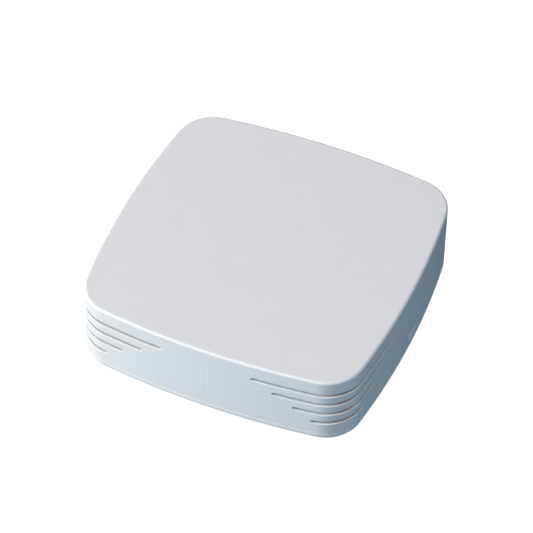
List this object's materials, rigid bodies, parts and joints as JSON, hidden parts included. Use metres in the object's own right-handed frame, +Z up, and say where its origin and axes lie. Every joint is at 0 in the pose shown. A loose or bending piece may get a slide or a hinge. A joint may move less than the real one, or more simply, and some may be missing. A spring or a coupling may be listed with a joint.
{
  "type": "smart home hub",
  "caption": "Square smart home hub with bowed sides, corner cooling slits, network, data and power sockets at the back, a side button and rubber feet.",
  "frame": {"origin": "on the surface the hub stands on, under the middle of its casing", "axes": "+Z up, -Y towards the plain front, +Y towards the sockets, +X towards the side with the button"},
  "size_m": [0.1254, 0.125, 0.0346],
  "materials": {
    "casing_plastic": "moulded ABS, fine satin texture",
    "foot_rubber": "moulded, matt",
    "screw_steel": "zinc plated",
    "circuit_board": "green solder mask on glass fibre",
    "shield_metal": "tin plated sheet",
    "black_plastic": "moulded, satin",
    "contact_gold": "gold plated spring wire",
    "lamp_green": "clear tinted lens",
    "lamp_amber": "clear tinted lens",
    "chip_epoxy": "moulded epoxy",
    "thermal_pad": "soft silicone sheet",
    "heatsink_aluminium": "extruded, clear anodised",
    "capacitor_sleeve": "shrunk film",
    "ferrite": "pressed and fired",
    "clear_acrylic": "polished, clear",
    "plate_film": "printed film, left blank"
  },
  "bodies": {
    "hub_body": {"top_cover": "casing_plastic", "base_plate": "casing_plastic", "rubber_foot_1": "foot_rubber", "rubber_foot_2": "foot_rubber", "rubber_foot_3": "foot_rubber", "rubber_foot_4": "foot_rubber", "cover_screw_1": "screw_steel", "cover_screw_2": "screw_steel", "cover_screw_3": "screw_steel", "cover_screw_4": "screw_steel", "board_screw_1": "screw_steel", "board_screw_2": "screw_steel", "board_screw_3": "screw_steel", "board_screw_4": "screw_steel", "rating_plate": "plate_film", "main_board": "circuit_board", "processor": "chip_epoxy", "thermal_pad": "thermal_pad", "heatsink": "heatsink_aluminium", "memory_chip": "chip_epoxy", "flash_chip": "chip_epoxy", "clock_crystal": "shield_metal", "wifi_shield": "shield_metal", "zigbee_shield": "shield_metal", "zwave_shield": "shield_metal", "wifi_radio": "chip_epoxy", "zigbee_radio": "chip_epoxy", "zwave_radio": "chip_epoxy", "wifi_antenna": "shield_metal", "zigbee_antenna": "shield_metal", "zwave_antenna": "shield_metal", "input_capacitor": "capacitor_sleeve", "output_capacitor": "capacitor_sleeve", "power_inductor": "ferrite", "ethernet_transformer": "chip_epoxy", "status_led": "clear_acrylic", "light_pipe": "clear_acrylic", "ethernet_jack_shell": "shield_metal", "ethernet_jack_insert": "black_plastic", "ethernet_contacts": "contact_gold", "ethernet_link_lamp": "lamp_green", "ethernet_data_lamp": "lamp_amber", "usb_shell": "shield_metal", "usb_tongue": "black_plastic", "power_jack_body": "black_plastic", "power_jack_pin": "shield_metal", "button_switch": "black_plastic"},
    "button_body": {"side_button": "casing_plastic"},
    "plunger_body": {"switch_plunger": "black_plastic"}
  },
  "joints": [
    {"name": "button_press", "type": "slide", "parent": "hub_body", "child": "button_body", "axis": [-1, 0, 0], "range_m": [0, 0.0005], "stiffness_N_per_m": 800},
    {"name": "plunger_press", "type": "slide", "parent": "hub_body", "child": "plunger_body", "axis": [-1, 0, 0], "range_m": [0, 0.0005]}
  ],
  "couplings": [
    {"joint": "plunger_press", "follows": "button_press", "ratio": 1}
  ]
}
